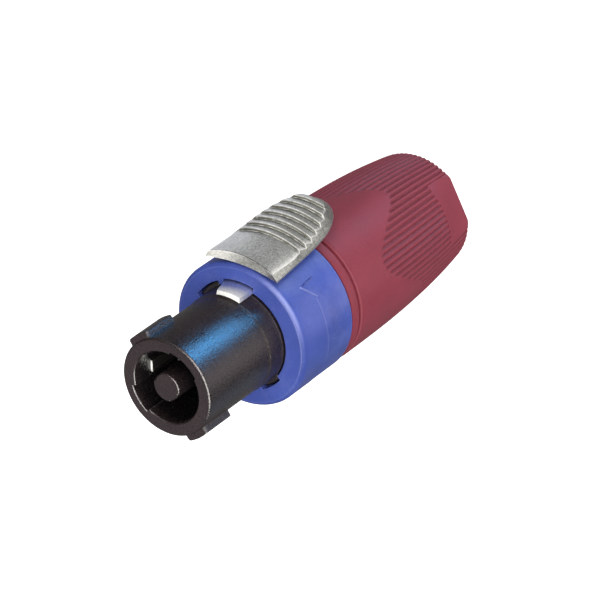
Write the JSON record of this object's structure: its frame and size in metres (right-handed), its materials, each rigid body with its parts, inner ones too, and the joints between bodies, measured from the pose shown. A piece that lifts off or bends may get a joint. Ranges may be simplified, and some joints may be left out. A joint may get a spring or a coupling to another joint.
{
  "type": "four-pole speaker connector",
  "caption": "Cable-mounted locking speaker connector with a bayonet barrel and centre post, a sliding sprung latch on its housing and a ribbed screw-on boot around the cable entry.",
  "frame": {"origin": "on the plug's axis at the front face of the centre post, which is the mating plane", "axes": "+Z along the plug's axis, out of the mating end; the latch is on the -Y side; +X completes the right-handed frame"},
  "size_m": [0.026, 0.0303, 0.0733],
  "materials": {
    "housing_blue": "smooth moulded",
    "insert_black": "satin moulded",
    "latch_zinc": "satin nickel on die casting",
    "spring_steel": "drawn wire",
    "chuck_pale": "moulded",
    "boot_red": "satin moulded",
    "contact_alloy": "silver plated",
    "clamp_brass": "machined",
    "plated_steel": "zinc plated"
  },
  "bodies": {
    "plug": {"housing": "housing_blue", "insert": "insert_black", "contact_wall_1": "contact_alloy", "contact_wall_2": "contact_alloy", "contact_post_1": "contact_alloy", "contact_post_2": "contact_alloy", "terminal_clamp_1": "clamp_brass", "terminal_clamp_2": "clamp_brass", "terminal_clamp_3": "clamp_brass", "terminal_clamp_4": "clamp_brass", "terminal_screw_1": "plated_steel", "terminal_screw_2": "plated_steel", "terminal_screw_3": "plated_steel", "terminal_screw_4": "plated_steel", "latch_spring": "spring_steel", "cable_chuck": "chuck_pale", "boot": "boot_red"},
    "latch": {"latch_slider": "latch_zinc"}
  },
  "joints": [
    {"name": "latch_slide", "type": "slide", "parent": "plug", "child": "latch", "axis": [0, 0, -1], "range_m": [0, 0.0038], "stiffness_N_per_m": 900, "springref_m": -0.001, "deforming": ["latch_spring"]}
  ]
}
